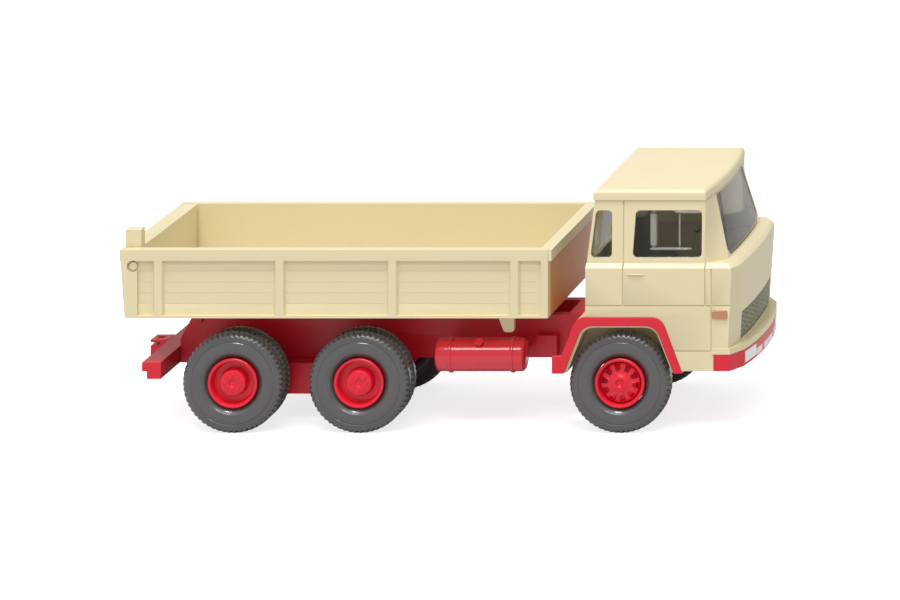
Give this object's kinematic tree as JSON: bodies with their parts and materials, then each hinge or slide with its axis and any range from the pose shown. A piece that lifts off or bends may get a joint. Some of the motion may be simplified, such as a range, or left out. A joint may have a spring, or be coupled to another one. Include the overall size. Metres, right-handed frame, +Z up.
{
  "type": "scale model of a three-axle tipper truck",
  "caption": "Moulded plastic scale model of a cab-over tipper truck with rolling axles, a rear-tipping load bed and a swinging tailgate.",
  "frame": {"origin": "on the ground under the middle of the model's box", "axes": "+X forward, +Y to the model's left, +Z up"},
  "size_m": [0.0782, 0.0286, 0.0304],
  "materials": {
    "cream_plastic": "satin moulded, cream",
    "red_plastic": "satin moulded, red",
    "tyre_rubber": "dull dark grey",
    "axle_steel": "bright wire",
    "smoked_glazing": "smoke-tinted clear moulding",
    "interior_plastic": "dark moulded",
    "grille_plastic": "dark olive, fine mesh",
    "lamp_lens": "silver-white gloss",
    "signal_lens": "orange gloss"
  },
  "bodies": {
    "chassis": {"chassis_frame": "red_plastic", "rear_crossbar": "red_plastic", "tow_jaw": "red_plastic", "rear_axle_carrier": "red_plastic", "front_axle_carrier": "red_plastic", "side_tank_right": "red_plastic", "side_tank_left": "red_plastic", "tipping_pin": "red_plastic", "cab_shell": "cream_plastic", "cab_roof": "cream_plastic", "side_windows": "smoked_glazing", "windscreen": "smoked_glazing", "back_windows": "smoked_glazing", "arch_band_right": "red_plastic", "arch_band_left": "red_plastic", "front_bumper": "red_plastic", "headlamps": "lamp_lens", "grille": "grille_plastic", "corner_lamps": "signal_lens", "cab_interior": "interior_plastic", "steering_wheel": "interior_plastic"},
    "bed": {"bed_floor": "cream_plastic", "bed_side_right": "cream_plastic", "bed_side_left": "cream_plastic", "bed_front_wall": "cream_plastic"},
    "tailgate": {"tailgate": "cream_plastic"},
    "front_wheels": {"front_tyre_right": "tyre_rubber", "front_rim_right": "red_plastic", "front_tyre_left": "tyre_rubber", "front_rim_left": "red_plastic", "front_axle": "axle_steel"},
    "middle_wheels": {"middle_tyre_right": "tyre_rubber", "middle_rim_right": "red_plastic", "middle_tyre_left": "tyre_rubber", "middle_rim_left": "red_plastic", "middle_axle": "axle_steel"},
    "rear_wheels": {"rear_tyre_right": "tyre_rubber", "rear_rim_right": "red_plastic", "rear_tyre_left": "tyre_rubber", "rear_rim_left": "red_plastic", "rear_axle": "axle_steel"}
  },
  "joints": [
    {"name": "front_axle_turn", "type": "hinge", "parent": "chassis", "child": "front_wheels", "pos_m": [0.02295, 0, 0.0063], "axis": [0, 1, 0], "continuous": true},
    {"name": "middle_axle_turn", "type": "hinge", "parent": "chassis", "child": "middle_wheels", "pos_m": [-0.0096, 0, 0.0063], "axis": [0, 1, 0], "continuous": true},
    {"name": "rear_axle_turn", "type": "hinge", "parent": "chassis", "child": "rear_wheels", "pos_m": [-0.02535, 0, 0.0063], "axis": [0, 1, 0], "continuous": true},
    {"name": "bed_tip", "type": "hinge", "parent": "chassis", "child": "bed", "pos_m": [-0.03175, 0, 0.0123], "axis": [0, -1, 0], "range_deg": [0, 45]},
    {"name": "tailgate_swing", "type": "hinge", "parent": "bed", "child": "tailgate", "pos_m": [-0.0375, 0, 0.0211], "axis": [0, 1, 0], "range_deg": [0, 75]}
  ]
}
